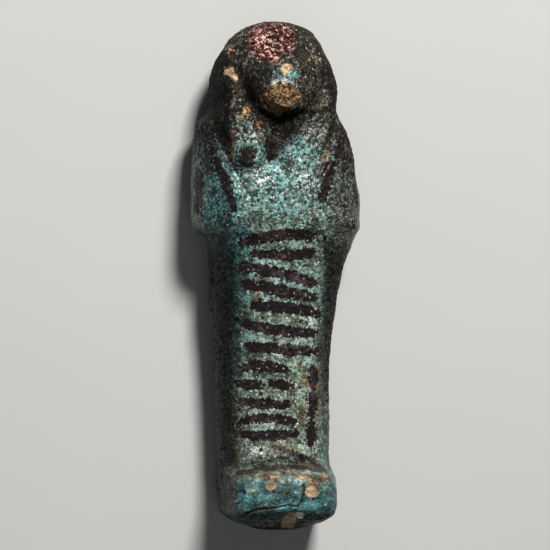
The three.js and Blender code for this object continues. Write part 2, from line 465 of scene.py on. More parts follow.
    def height(self, x: np.ndarray, up: np.ndarray) -> np.ndarray:
        """Return the whole carving's height over the plain body."""
        neck = self.neck_depth * self.neck_opening(x, up)
        return self.face(x, up) + self.wig_lappets(x, up) + self.arms(x, up) - neck


# ---------------------------------------------------------------- wear and paint


@dataclass(frozen=True)
class Damage:
    """Chips, the broken face and the cracked toe, with how deep each one goes."""

    broken_face: Patch = Patch((
        (-4.6, 84.4), (-3.3, 86.9), (-2, 87.4), (0.1, 87.8), (1.9, 86.6), (3.3, 84.9),
        (2.6, 83.1), (0.6, 82.1), (-0.8, 80.9), (-2.2, 82.1), (-4.1, 83.1),
    ))
    break_up: float = 84.9
    break_height: float = 24.5
    break_tilt: float = 0.08
    break_lean: float = -0.03
    break_reach: float = 5.4
    chips: tuple[tuple[Spot, float], ...] = (
        (Spot(0.1, 90.1, 1.05, 1.15), 0.35),
        (Spot(5.1, 7.9, 1.25, 1.15), 0.5),
        (Spot(-2.8, 8.8, 0.75, 0.6), 0.25),
        (Spot(-6.4, 8.2, 0.6, 0.35), 0.2),
        (Spot(1.4, 1.7, 1.5, 1.5), 0.55),
        (Spot(-9.8, 89.9, 0.75, 0.8), 0.2),
        (Spot(-8.9, 88.6, 0.55, 0.75), 0.2),
    )
    white_chip: Spot = Spot(2.9, 3.0, 0.8, 0.55)
    crack: Trace = Trace((
        (3.5, 9.2), (3.7, 8.1), (3.3, 7.0), (3.2, 6.1), (2.4, 4.9), (1.5, 4.8), (0.6, 5.1),
        (-1.4, 4.7), (-3.2, 4.5), (-5.6, 4.2), (-7.6, 3.5),
    ))
    crack_depth: float = 0.45
    crack_half_width: float = 0.14
    break_depth: float = 0.3
    break_edge: Point = (0.05, -0.35)
    chip_edge: Point = (0.1, -0.35)
    white_depth: float = 0.3
    sandy_edge: Point = (0.0, 1.0)
    rim_foot: Point = (86.9, 85.6)
    rim_sides: tuple[Point, Point] = ((1.4, 3.0), (-2.6, -3.8))
    rim_gap: float = 3.0

    def broken_plane(self, x: np.ndarray, up: np.ndarray) -> np.ndarray:
        """Return the height that nothing in the broken face stands above."""
        plane = self.break_height + self.break_tilt * (up - self.break_up) + self.break_lean * x
        far = np.hypot(x, up - self.break_up) > self.break_reach
        return np.where(far, np.inf, plane)

    def bare(self, x: np.ndarray, up: np.ndarray) -> np.ndarray:
        """Return the distance to the nearest chip's edge, negative where the body shows."""
        spots = tuple(spot for spot, _ in self.chips)
        return nearest_edge((self.broken_face, *spots), x, up)

    def rim(self, x: np.ndarray, up: np.ndarray) -> np.ndarray:
        """Return the distance to the broken face's upper edge."""
        beyond = smooth(*self.rim_foot, up) + sum(smooth(*side, x) for side in self.rim_sides)
        return self.broken_face.edge(x, up) + self.rim_gap * beyond

    def sandy(self, x: np.ndarray, up: np.ndarray) -> np.ndarray:
        """Return from 0, in the broken face, to 1 how clean and pale the chips are."""
        return smooth(*self.sandy_edge, self.broken_face.edge(x, up))

    def depth(self, x: np.ndarray, up: np.ndarray) -> np.ndarray:
        """Return how deep the chips and the crack cut in."""
        depth = self.break_depth * smooth(*self.break_edge, self.broken_face.edge(x, up))
        for spot, deep in self.chips + ((self.white_chip, self.white_depth),):
            depth = np.maximum(depth, deep * smooth(*self.chip_edge, spot.edge(x, up)))
        crack = np.exp(-((self.crack.away(x, up) / self.crack_half_width) ** 2))
        return depth + self.crack_depth * crack


@dataclass(frozen=True)
class Painting:
    """The brush-drawn strokes: a column of plain rows, and lines on arms and feet."""

    rows: tuple[Stroke, ...] = (
        Stroke((-7.6, 56.2), (5.9, 57.5), 0.9, 2.2),
        Stroke((-5.4, 54.2), (6.2, 54.5), -0.5, 2.0),
        Stroke((-7.6, 51.8), (6.6, 48.3), 0.3, 2.3),
        Stroke((-6.9, 48.4), (7.0, 45.6), -0.2, 2.2),
        Stroke((-5.2, 43.8), (7.6, 42.3), 0.5, 2.1),
        Stroke((-6.3, 40.2), (6.9, 38.6), -0.4, 2.2),
        Stroke((-6.1, 36.1), (7.4, 35.1), -0.2, 2.1),
        Stroke((-6.9, 31.8), (1.0, 31.5), 0.5, 2.1),
        Stroke((-7.9, 28.6), (-3.6, 28.2), 0.2, 1.9),
        Stroke((-1.6, 28.8), (2.4, 28.0), 0.1, 1.9),
        Stroke((-7.4, 25.2), (1.4, 24.6), -0.3, 2.1),
        Stroke((-7.2, 21.3), (2.9, 21.3), 0.6, 1.9),
        Stroke((-6.9, 18.7), (3.2, 18.8), -0.3, 1.9),
        Stroke((6.9, 31.8), (6.9, 28.0), 0.1, 2.0),
        Stroke((6.9, 26.4), (6.7, 22.5), 0.1, 2.1),
        Stroke((6.6, 20.9), (6.3, 16.9), 0.1, 1.9),
    )
    limbs: tuple[Stroke, ...] = (
        Stroke((-15.6, 70.4), (-15.9, 62.2), 0.0, 1.2),
        Stroke((-13.1, 72.3), (-9.7, 62.6), 0.3, 1.4),
        Stroke((9.4, 71.8), (7.5, 65.0), 0.0, 2.2),
        Stroke((14.9, 69.8), (15.2, 64.4), 0.0, 1.4),
    )
    faded: tuple[Stroke, ...] = (
        Stroke((-14.5, 77.0), (-14.2, 70.5), 0.0, 2.4),
        Stroke((12.2, 79.0), (10.2, 72.4), 0.0, 2.4),
    )
    instep: tuple[Stroke, ...] = (
        Stroke((-0.6, 15.3), (8.7, 11.4), 1.2, 1.1),
        Stroke((-8.6, 11.2), (7.6, 11.5), 1.2, 0.8),
    )
    depth: float = 0.05
    depth_edge: Point = (0.1, -0.3)

    def edge(self, x: np.ndarray, up: np.ndarray) -> np.ndarray:
        """Return the distance to the nearest full stroke's edge."""
        return nearest_edge(self.rows + self.limbs, x, up)


@dataclass(frozen=True)
class Staining:
    """Where the ground has left deposits and stains on the figure, and where shade and glints
    are painted on it.
    """

    pink_patch: Patch = Patch((
        (-6.3, 97.3), (-4, 99.2), (0, 99.9), (2.1, 99.2), (3.2, 97.3), (2.3, 94),
        (0.2, 93.5), (-1.5, 91.7), (-3.6, 91.1), (-4.9, 92), (-6.2, 93.8),
    ))
    # Where the pale pink curds, partly painted highlight, crowd.
    pink_heart: Swelling = Swelling(0.5, -2.2, 95.4, 2.2, 1.9)
    tan_spots: tuple[Swelling, ...] = (
        Swelling(0.9, -7.3, 82.0, 1.4, 1.0),
        Swelling(0.9, -4.6, 79.5, 0.9, 1.2),
        Swelling(0.9, -4.6, 76.6, 0.5, 0.8),
        Swelling(1.0, 8.4, 73.0, 0.9, 0.9),
        Swelling(0.9, 5.4, 92.0, 0.4, 1.0),
        Swelling(0.8, 3.6, 83.4, 0.4, 0.5),
        Swelling(0.9, -9.4, 94.6, 0.5, 0.8),
        Swelling(0.8, -4.8, 46.6, 0.5, 1.3),
        Swelling(0.9, -9.3, 42.3, 0.4, 0.4),
        Swelling(0.7, -1.6, 21.6, 0.7, 0.4),
        Swelling(0.6, -6.0, 8.2, 0.8, 0.4),
        Swelling(0.8, -5.4, 11.0, 2.0, 0.5),
        Swelling(1.1, -1.8, 10.7, 1.5, 0.5),
        Swelling(0.9, 3.4, 10.6, 1.8, 0.7),
        Swelling(0.9, 5.6, 9.2, 1.8, 1.0),
        Swelling(0.7, 8.2, 10.4, 1.6, 0.8),
    )
    rust_spots: tuple[Swelling, ...] = (
        Swelling(0.7, -10.2, 76.0, 0.8, 3.6),
        Swelling(0.5, 8.8, 75.6, 1.4, 2.6),
        Swelling(1.1, -8.6, 14.2, 0.9, 2.0),
        Swelling(0.5, -5.4, 46.8, 0.6, 1.8),
        Swelling(0.6, 0.0, 41.3, 1.2, 0.5),
        Swelling(0.7, 4.6, 22.4, 0.9, 2.4),
        Swelling(0.6, 5.0, 29.4, 1.2, 3.0),
        Swelling(0.5, 8.2, 26.0, 1.6, 9.0),
        Swelling(0.8, 0.6, 15.8, 3.0, 1.4),
        Swelling(0.7, 3.5, 12.4, 5.0, 0.6),
        Swelling(0.6, -4.0, 11.8, 4.0, 0.5),
        Swelling(0.6, -2.6, 9.9, 2.4, 0.5),
        Swelling(0.9, -9.9, 7.6, 0.35, 3.8),
        Swelling(0.8, -4.6, 4.2, 3.4, 0.30),
    )
    dark_spot: Spot = Spot(-7.3, 72.9, 2.0, 2.2)

    behind: Point = (9.0, 4.0)
    soil_head: Zone = Zone(1.0, foot=(71.0, 85.5))
    soil_spares: tuple[Swelling, ...] = (
        Swelling(1.1, 0.0, 89.2, 2.4, 1.7),  # brow
        Swelling(0.2, 5.0, 86.0, 3.5, 4.0),  # cheek
    )
    soil_areas: tuple[Area, ...] = (
        Swelling(1.0, 0.9, 79.2, 4.4, 3.2),  # under the chin
        Swelling(1.0, -2.1, 75.0, 2.1, 2.8),  # chest
        Swelling(0.5, 6.4, 26.0, 2.4, 8.0),  # calf
        Zone(0.8, (6.5, 13.5), (62.0, 74.0)),  # right shoulder
        Zone(0.15, (8.0, 14.5), (54.0, 62.0)),  # right elbow
        Zone(0.62, (-9.5, -13.0), (66.0, 75.0)),  # left shoulder
        Zone(0.6, (7.0, 11.0), (16.0, 30.0), (60.0, 52.0)),  # right flank
        # On the left flank this soil is partly painted shade.
        Zone(0.45, (-6.0, -10.5), top=(60.0, 52.0)),  # left flank
        Zone(0.55, top=(4.6, 3.0)),  # toes
    )
    soil_behind: float = 0.5
    soil_neck: float = 0.9
    # Painted shade: the sides, the toes, the V under the chin, beside the face and under the
    # left elbow.
    shade_and_grime_areas: tuple[Area, ...] = (
        Zone(1.0, (-5.4, -9.8), (9.0, 13.5), (60.0, 54.0)),  # left leg
        Zone(0.9, (-9.6, -10.5), (1.0, 4.0)),  # left of the toes
        Zone(0.95, (6.6, 9.8), (16.0, 30.0), (62.0, 54.0)),  # right leg
        Zone(0.6, (7.6, 10.8), (12.0, 16.0)),  # right ankle
        Zone(0.35, (13.5, 16.0), (54.0, 60.0)),  # right arm
        Zone(0.6, top=(4.4, 3.2)),  # toes
        Swelling(0.5, 9.0, 4.4, 4.0, 1.8),  # right of the toes
        Swelling(1.0, -1.9, 75.2, 2.2, 2.6),  # chest
        Swelling(0.9, 1.4, 78.6, 3.2, 2.6),  # throat
        Swelling(0.6, 1.6, 79.8, 4.2, 1.8),  # under the chin
        Swelling(0.8, -4.2, 81.6, 2.6, 1.8),  # beside the chin
        Swelling(0.9, -6.4, 87.0, 2.1, 4.4),  # beside the face
        Swelling(0.85, -7.3, 72.7, 1.7, 1.7),  # end of the left lappet
        Swelling(0.7, -13.0, 57.2, 6.0, 1.9),  # under the left elbow
    )
    # Painted shade that darkens the sides towards the floor; the lift keeps it off the upper
    # body.
    low_shade: float = 0.75
    low_shade_edge: Point = (12.0, 6.0)
    low_shade_lift: Zone = Zone(5.0, foot=(54.0, 60.0))
    # Painted shade in the V between the lappets.
    neck_shade: float = 0.85
    # Painted light on the left arm: it takes the painted shade away and brightens the colour
    # past that.
    lit_arm: Zone = Zone(0.55, (-8.0, -12.5), (55.0, 60.0), (78.0, 72.0))
    even_areas: tuple[Zone, ...] = (
        Zone(0.34, top=(66.0, 40.0)),  # legs
        Zone(0.22, top=(16.0, 11.5)),  # feet
        Zone(0.18, (1.0, 7.0), (74.0, 82.0)),  # right half of the wig
    )
    turquoise_areas: tuple[Area, ...] = (
        Zone(1.0, top=(12.5, 7.5)),  # feet
        Zone(0.9, (-3.0, -12.0), (50.0, 60.0)),  # left of the torso
        Zone(0.85, (-2.0, -9.0), (24.0, 44.0), (72.0, 56.0)),  # left thigh
        Zone(0.45, (14.0, 4.0), (54.0, 66.0)),  # chest
        Zone(0.25, foot=(24.0, 52.0)),  # all above the knees
        Zone(0.55, (7.0, 10.0), top=(30.0, 18.0)),  # right ankle
        Swelling(1.1, 0.2, 89.3, 2.6, 1.8),  # brow
    )
    worn_areas: tuple[Zone, ...] = (
        Zone(0.9, (7.0, 12.0), (50.0, 58.0), (73.0, 66.0)),  # right elbow
        Zone(0.8, (8.0, 12.0), (20.0, 32.0), (58.0, 50.0)),  # right thigh
        Zone(0.6, (7.0, 11.0), (66.0, 74.0)),  # right shoulder
    )
    worn_head: Zone = Zone(0.7, foot=(73.0, 79.0))
    worn_spares: Swelling = Swelling(0.8, 0.2, 89.3, 2.6, 1.8)
    worn_behind: float = 0.4
    # Painted highlights: where the white painted glints lie thickest.
    glint_areas: tuple[Area, ...] = (
        Swelling(1.05, -4.2, 68.6, 4.6, 3.0),  # left fist
        Swelling(1.1, 4.8, 67.6, 3.0, 2.2),  # right fist
        Swelling(0.9, 12.0, 61.0, 4.0, 6.0),  # right elbow
        Swelling(1.0, 6.0, 42.0, 2.0, 6.5),  # right thigh
        Swelling(0.9, -5.0, 16.6, 2.0, 1.6),  # left shin
        Swelling(0.7, -4.4, 15.6, 1.8, 1.0),  # left ankle
        Zone(-0.2, top=(16.0, 10.0)),  # feet
    )
    glints_anywhere: float = 0.26
    glints_most: float = 1.4

    def deposit(
        self, x: np.ndarray, up: np.ndarray, z: np.ndarray, neck: np.ndarray
    ) -> np.ndarray:
        """Return how much of the surface dark soil covers, on the left flank partly as painted
        shade.

        Args:
            x: how far aside each place is.
            up: its height up the body.
            z: its height above the floor.
            neck: from 0 to 1 how far it is in the V between the lappets.

        Returns:
            Numbers from 0 to 1.
        """
        most = np.maximum.reduce([
            self.soil_head.at(x, up) - summed(self.soil_spares, x, up),
            strongest(self.soil_areas, x, up),
            self.soil_behind * smooth(*self.behind, z),
            self.soil_neck * neck,
        ])
        return np.clip(most, 0, 1)

    def shade_and_grime(
        self, x: np.ndarray, up: np.ndarray, z: np.ndarray, neck: np.ndarray
    ) -> np.ndarray:
        """Return how far painted shade darkens each place, deepening the soil in the V and at
        the lappet's end.

        Args:
            x: how far aside each place is.
            up: its height up the body.
            z: its height above the floor.
            neck: from 0 to 1 how far it is in the V between the lappets.

        Returns:
            Numbers up to 1. Below 0 the colour is brightened, as painted light.
        """
        lifted = z + self.low_shade_lift.at(x, up)
        most = np.maximum.reduce([
            strongest(self.shade_and_grime_areas, x, up),
            self.low_shade * smooth(*self.low_shade_edge, lifted),
            self.neck_shade * neck,
        ])
        return most - self.lit_arm.at(x, up)

    def grit(self, x: np.ndarray, up: np.ndarray) -> np.ndarray:
        """Return how strongly, from 0 to 1, the glaze's grains differ in tone."""
        return 1.0 - summed(self.even_areas, x, up)

    def turquoise(self, x: np.ndarray, up: np.ndarray) -> np.ndarray:
        """Return how fresh, from 0 to about 1, the turquoise of the glaze is."""
        return strongest(self.turquoise_areas, x, up)

    def worn(self, x: np.ndarray, up: np.ndarray, z: np.ndarray) -> np.ndarray:
        """Return how far, from 0 to 1, the glaze has lost its colour."""
        return np.maximum.reduce([
            strongest(self.worn_areas, x, up),
            self.worn_head.at(x, up) - self.worn_spares.at(x, up),
            self.worn_behind * smooth(*self.behind, z),
        ])

    def rust(self, x: np.ndarray, up: np.ndarray) -> np.ndarray:
        """Return how strongly, from 0 to 1, iron has stained the glaze brown."""
        return np.minimum(1.0, summed(self.rust_spots, x, up))

    def tan(self, x: np.ndarray, up: np.ndarray) -> np.ndarray:
        """Return how strongly, from 0 to 1, the tan body shows through in grains."""
        return np.minimum(1.0, summed(self.tan_spots, x, up))

    def painted_glints(self, x: np.ndarray, up: np.ndarray) -> np.ndarray:
        """Return how thickly painted glints, white grains in the colour, are strewn: 1 is
        thick.
        """
        most = self.glints_anywhere + summed(self.glint_areas, x, up)
        return np.clip(most, 0, self.glints_most)


# ---------------------------------------------------------------- node sheets


class Term:
    """A number that varies over the surface: one output of a node."""

    def __init__(self, sheet: "Sheet", socket: bpy.types.NodeSocket) -> None:
        """Wrap a socket so that expressions on it add Math nodes."""
        self.sheet = sheet
        self.socket = socket

    def _math(self, operation: str, *values: Any) -> "Term":
        """Add one Math node and return its result."""
        sockets = dict(enumerate(values))
        node = self.sheet.node("ShaderNodeMath", {"operation": operation}, sockets)
        return Term(self.sheet, node.outputs[0])

    def __add__(self, other: Any) -> "Term":
        """Return self + other."""
        return self._math("ADD", self, other)

    __radd__ = __add__

    def __sub__(self, other: Any) -> "Term":
        """Return self - other."""
        return self._math("SUBTRACT", self, other)

    def __rsub__(self, other: Any) -> "Term":
        """Return other - self."""
        return self._math("SUBTRACT", other, self)

    def __mul__(self, other: Any) -> "Term":
        """Return self * other."""
        return self._math("MULTIPLY", self, other)

    __rmul__ = __mul__

    def power(self, exponent: float) -> "Term":
        """Return self to a power."""
        return self._math("POWER", self, exponent)

    def high(self, other: Any) -> "Term":
        """Return the larger of self and other."""
        return self._math("MAXIMUM", self, other)

    def low(self, other: Any) -> "Term":
        """Return the smaller of self and other."""
        return self._math("MINIMUM", self, other)

    def step(self, low: Any, high: Any) -> "Term":
        """Return a soft step.

        Args:
            low: the value at which the step is 0.
            high: the value at which it is 1. It may be the smaller of the two.

        Returns:
            A term from 0 to 1.
        """
        node = self.sheet.node(
            "ShaderNodeMapRange",
            {"interpolation_type": "SMOOTHSTEP"},
            {"Value": self, "From Min": low, "From Max": high},
        )
        return Term(self.sheet, node.outputs[0])


class Sheet:
    """A node tree that is drawn up in code."""

    def __init__(self, tree: bpy.types.NodeTree) -> None:
        """Start an empty sheet on a tree."""
        self.tree = tree
        tree.nodes.clear()

    def node(
        self,
        kind: str,
        settings: dict[str, Any] | None = None,
        sockets: dict[Any, Any] | None = None,
    ) -> bpy.types.Node:
        """Add a node.

        Args:
            kind: the node's type.
            settings: its properties, set before its sockets.
            sockets: values, terms or sockets for its inputs, by name or number.

        Returns:
            The node.
        """
        node = self.tree.nodes.new(kind)
        for name, value in (settings or {}).items():
            setattr(node, name, value)
        for key, value in (sockets or {}).items():
            if isinstance(value, Term):
                value = value.socket
            if isinstance(value, bpy.types.NodeSocket):
                self.tree.links.new(value, node.inputs[key])
            else:
                node.inputs[key].default_value = value
        return node

    def term(self, node: bpy.types.Node, output: Any = 0) -> Term:
        """Return one output of a node as a term."""
        return Term(self, node.outputs[output])


class Pattern(Sheet):
    """A sheet with the patterns that both the glaze and its relief are made of."""

    place: Any = None

    def measure(self, place: bpy.types.NodeSocket) -> None:
        """Lay the patterns out by places in metres, with sizes in millimetres."""
        self.place = self.scaled(place, 1.0 / MM)

    def scaled(self, vector: bpy.types.NodeSocket, by: Any) -> bpy.types.NodeSocket:
        """Scale a vector or a colour and return the result."""
        sockets = {0: vector, "Scale": by}
        return self.node("ShaderNodeVectorMath", {"operation": "SCALE"}, sockets).outputs[0]

    def blend(self, share: Any, under: Any, over: Any) -> bpy.types.NodeSocket:
        """Lay one colour over another and return the result."""
        sockets = {0: share}
        for key, colour in ((6, under), (7, over)):
            sockets[key] = (*colour, 1.0) if isinstance(colour, tuple) else colour
        return self.node("ShaderNodeMix", {"data_type": "RGBA"}, sockets).outputs[2]

    def noise(self, size: float, detail: float = 2.0, seed: float = 0.0, **more: float) -> Term:
        """Return a cloudy pattern.

        Args:
            size: about how many millimetres a cloud is wide.
            detail: how many finer layers it has.
            seed: which of many patterns it is.
            more: other inputs of the Noise Texture node.

        Returns:
            A term around 0.5.
        """
        sockets = {"Vector": self.place, "W": seed, "Scale": 1.0 / size, "Detail": detail}
        sockets.update({name.capitalize(): value for name, value in more.items()})
        return self.term(self.node("ShaderNodeTexNoise", {"noise_dimensions": "4D"}, sockets))

    def grains(self, size: float, seed: float) -> tuple[Term, Term]:
        """Return a pattern of grains.

        Args:
            size: about how many millimetres a grain is wide.
            seed: which of many patterns it is.

        Returns:
            How far a place is from its grain's middle, in grain sizes, and a number
            from 0 to 1 that is the grain's own.
        """
        node = self.node(
            "ShaderNodeTexVoronoi",
            {"voronoi_dimensions": "4D"},
            {"Vector": self.place, "W": seed, "Scale": 1.0 / size},
        )
        own = self.node("ShaderNodeSeparateXYZ", None, {0: node.outputs["Color"]})
        return self.term(node, "Distance"), self.term(own)


class Mark(Enum):
    """The measures that the figure's mesh carries for its finish."""

    PAINT = "paint"
    FADED = "faded_paint"
    ARCS = "thin_paint"
    BARE = "bare_body"
    RIM = "chip_rim"
    WHITE = "white_chip"
    CRACK = "crack"
    DEPOSIT = "deposit"
    TURQUOISE = "turquoise"
    WORN = "worn"
    # painted shade, deepening the soil in places
    SHADE_AND_GRIME = "shade_and_grime"
    GRIT = "grit"
    SANDY = "sandy"
    HEART = "pink_heart"
    RUST = "rust"
    TAN = "tan"
    PINK = "pink_patch"
    DARK = "dark_spot"
    # how thickly painted glints lie
    PAINTED_GLINTS = "glint_density"
    HOLLOW = "hollow"
    SINK = "sink"
    FREE = "free"
    PIT = "pit"


# ---------------------------------------------------------------- finishes


class FaienceSheet(Pattern):
    """The faience's node tree, drawn up layer by layer, each over those before it.

    The patterns lie around 0. The layers work them into ragged edges and grains.
    """

    def __init__(self, tree: bpy.types.NodeTree, look: "FaienceFinish") -> None:
        """Draw up the patterns that the layers share.

        Args:
            tree: the material's node tree.
            look: the colours.
        """
        super().__init__(tree)
        self.look = look
        self.colour: Any = look.pale
        self.measure(self.node("ShaderNodeTexCoord").outputs["Object"])
        self.clouds = self.noise(9.0, 3.0, 1.0) - 0.5
        self.blotches = self.noise(2.4, 4.0, 2.0, roughness=0.6) - 0.5
        self.mottle = self.noise(0.70, 3.0, 3.0, roughness=0.7) - 0.5
        self.fine = self.noise(0.28, 2.0, 4.0, roughness=0.7) - 0.5
        self.grain_away, grain_own = self.grains(0.44, 5.0)
        self.tint = grain_own - 0.5
        self.speck_away, self.speck_own = self.grains(0.48, 6.0)
        self.hollow = self.mark(Mark.HOLLOW)

        uneven = self.tint * 0.60 + self.mottle * 1.9 + self.fine
        clusters = self.blotches * 1.6 + self.clouds * 0.6
        self.grit = uneven * self.mark(Mark.GRIT) + clusters + 0.49
        frayed = self.mottle * 1.2 + self.fine * 0.8 + self.tint * 0.3
        self.ragged = frayed + self.blotches * 0.8

    def mark(self, which: Mark) -> Term:
        """Return one of the measures that the mesh carries."""
        node = self.node("ShaderNodeAttribute", {"attribute_name": which.value})
        return self.term(node, "Fac")

    def inside(self, which: Mark, rough: float, outer: float, inner: float) -> Term:
        """Return how far each place is inside a shape with a ragged edge.

        Args:
            which: the measure with the distance to the shape's edge.
            rough: how ragged the edge is.
            outer: the distance at which the shape starts.
            inner: the distance from which it is full.

        Returns:
            A term from 0 to 1.
        """
        return (self.mark(which) + self.ragged * rough).step(outer, inner)

    def lit(
        self, colour: Any, base: float, gain: float, span: Point = (0.2, 0.9)
    ) -> bpy.types.NodeSocket:
        """Return a colour that is brighter on the lighter grains.

        Args:
            colour: the colour.
            base: its share on the darkest grains.
            gain: what the lightest grains have more.
            span: the grit of the darkest and of the lightest grains.

        Returns:
            The colour's socket.
        """
        return self.scaled(colour, base + self.grit.step(*span) * gain)

    def lay(self, share: Any, over: Any) -> None:
        """Lay a colour over all that is there."""
        self.colour = self.blend(share, self.colour, over)

    def glaze(self) -> Term:
        """Lay the glaze, from pale celadon to turquoise, thin and grey in places, with painted
        glints and highlights in white.

        Returns:
            Where the painted glints lie.
        """
        look, grit = self.look, self.grit
        drift = self.clouds * 1.2 + self.blotches * 1.6 + self.tint * 0.7
        self.lay((self.mark(Mark.TURQUOISE) + drift).step(-0.2, 1.2), look.fresh)
        thin = self.mark(Mark.WORN) + self.blotches * 1.6 + self.speck_own - 0.5
        self.lay(thin.step(0.0, 1.0), look.worn)
        tone = grit.step(0.34, 1.0).power(1.2) * 1.88 + 0.10 + grit.step(0.15, 0.40) * 0.25
        self.colour = self.scaled(self.colour, tone)

        # Painted glints: single white grains, thickest where the mark says.
        glint_density = self.mark(Mark.PAINTED_GLINTS)
        rare = 1.02 - glint_density * 0.36
        chosen = (self.speck_own + self.mottle * 0.7).step(rare - 0.03, rare)
        painted_glint = chosen * self.speck_away.step(0.55, 0.30)
        self.lay(painted_glint * 0.9, look.white)
        # Clusters of painted highlight in white.
        highlight_clusters = self.mottle * 2.8 + self.fine * 1.8 + self.blotches * 1.2
        self.lay((glint_density + highlight_clusters).step(1.35, 1.65) * 0.85, look.white)
        return painted_glint

    def soil(self, painted_glint: Term) -> Term:
        """Lay soil in hollows, partly as painted shade, and over whole regions, grain by grain.

        Args:
            painted_glint: where painted glints show through it.

        Returns:
            Where it lies.
        """
        # Soil gathers in the hollows, where it also stands as painted shade.
        amount = self.mark(Mark.DEPOSIT) * 1.3 + self.hollow * 0.7 - 0.20
        patchy = self.mottle * 1.4 + self.blotches * 1.1 + self.clouds * 0.5
        covered = (amount + patchy - self.tint * 0.6).step(0.25, 0.75)
        soil = self.blend(self.grit.step(0.46, 0.72), self.look.soil, self.look.soil_mid)
        soil = self.blend(self.grit.step(0.76, 0.98), soil, self.look.soil_light)
        # Painted glints show through the soil.
        soil = self.blend(painted_glint * 0.65, soil, self.look.white)
        self.lay(covered * 0.95, soil)
        return covered

    def pits(self) -> Term:
        """Lay open pits, mostly filled with dark soil, some ringed with rust.

        Returns:
            Where they are.
        """
        away, own = self.grains(1.3, 7.0)
        size = own.step(0.40, 1.0) * 0.30 + self.mottle * 0.35 - away
        self.lay(size.step(-0.16, -0.04) * own.step(0.80, 0.84) * 0.55, self.look.iron)
        pits = size.step(-0.04, 0.04).high(self.mark(Mark.PIT).step(0.30, 0.6))
        self.lay(pits * 0.92, self.look.pit_soil)
        return pits

    def stains(self) -> None:
        """Lay iron stains with dark hearts, and tan grains of the bare body."""
        look = self.look
        near = self.mark(Mark.RUST)
        rust = near * 0.9 + self.mottle * 2.2 + self.fine * 1.2
        brown = self.lit(self.blend(rust.step(0.60, 0.85), look.iron, look.pit_soil), 0.5, 1.3)
        self.lay(rust.step(0.34, 0.58) * near.step(0.06, 0.2) * 0.85, brown)
        near = self.mark(Mark.TAN)
        bare = near * 0.8 + self.mottle * 3.0 + self.fine * 2.0
        tan = self.lit(self.blend(bare.step(0.9, 0.5), look.tan, look.iron), 0.3, 1.0)
        self.lay(bare.step(0.36, 0.66) * near.step(0.05, 0.25) * 0.9, tan)

    def shade_and_grime(self) -> Term:
        """Paint shade by darkening the sides, the recesses and the hollows.

        Returns:
            How far each place is darkened.
        """
        shaded = (self.mark(Mark.SHADE_AND_GRIME) * (1.0 + self.blotches * 0.3)).low(1.0)
        # Painted shade: the colour is darkened by the mark and in the hollows, and brightened
        # as painted light where the mark is below 0.
        kept = (1.0 - shaded * 0.94) * (1.0 - self.hollow * 0.5)
        self.colour = self.scaled(self.colour, kept)
        return shaded

    def paint(self, painted_glint: Term) -> Term:
        """Lay the brush strokes, worn through where the grain stands proud.

        Args:
            painted_glint: where painted glints show through them.

        Returns:
            Where the full strokes are.
        """
        rubbed = (self.grit + self.clouds * 0.9).step(0.56, 1.00)
        ink = self.blend(rubbed, self.look.ink, self.look.ink_worn)
        strokes = self.inside(Mark.PAINT, 1.0, 0.14, -0.10)
        # The paint gives way in part to the painted glints.
        self.lay(strokes * (1.0 - painted_glint * 0.5) * 0.97, ink)
        self.lay(self.inside(Mark.ARCS, 0.7, 0.2, -0.15) * 0.8, ink)
        faint = self.inside(Mark.FADED, 1.6, 0.22, -0.22)
        self.lay(faint * self.grit.step(0.85, 0.50) * 0.9, ink)
        return strokes

    def lump(self) -> None:
        """Lay a dark pitted lump at the end of one lappet."""
        dark = self.inside(Mark.DARK, 0.9, 0.3, -0.3)
        self.lay(dark * self.grit.step(1.15, 0.85) * 0.97, self.look.soil)

    def pink(self) -> Term:
        """Lay the pink patch on the wig.

        Returns:
            Where it is.
        """
        patch = self.inside(Mark.PINK, 1.0, 0.15, -0.15)
        curds = self.noise(0.9, 3.0, 11.0, roughness=0.7, distortion=0.9)
        pink = self.blend(curds.step(0.54, 0.48), self.look.pink, self.look.maroon)
        # Pale pink curds, crowded at the patch's heart: partly the patch's own colour, partly
        # painted highlight.
        light = (curds + self.mark(Mark.HEART) * 0.14).step(0.56, 0.62)
        pink = self.blend(light, pink, self.look.pale_pink_and_highlight)
        self.lay(patch * 0.96, self.lit(pink, 0.35, 1.0))
        return patch

    def chips(self) -> tuple[Term, Term]:
        """Lay the chips down to the sandy quartz body, and the crack.

        Returns:
            Where the body is bare, and where the crack is.
        """
        look = self.look
        edge = self.mark(Mark.BARE) + self.ragged * 0.9 + self.blotches * 2.2
        bare = edge.step(0.12, -0.12)
        dark_grains = (self.mottle * 0.6 + self.fine * 0.4).step(0.03, -0.07)
        sand = self.blend(dark_grains, look.quartz, look.quartz_dark)
        sand = self.blend(self.mark(Mark.SANDY) * 0.75, sand, look.sand)
        self.lay(bare, self.lit(sand, 0.45, 1.1, (0.1, 1.0)))
        rim = self.inside(Mark.RIM, 1.6, 0.80, 0.30) * (1.0 - bare)
        self.lay(rim * (0.5 + self.grit.step(0.3, 0.8) * 0.5), look.white)
        self.lay(self.inside(Mark.WHITE, 0.7, 0.1, -0.1), look.white)
        crack = self.inside(Mark.CRACK, 0.18, 0.26, 0.12)
        self.lay(crack * 0.95, look.soil)
        return bare, crack


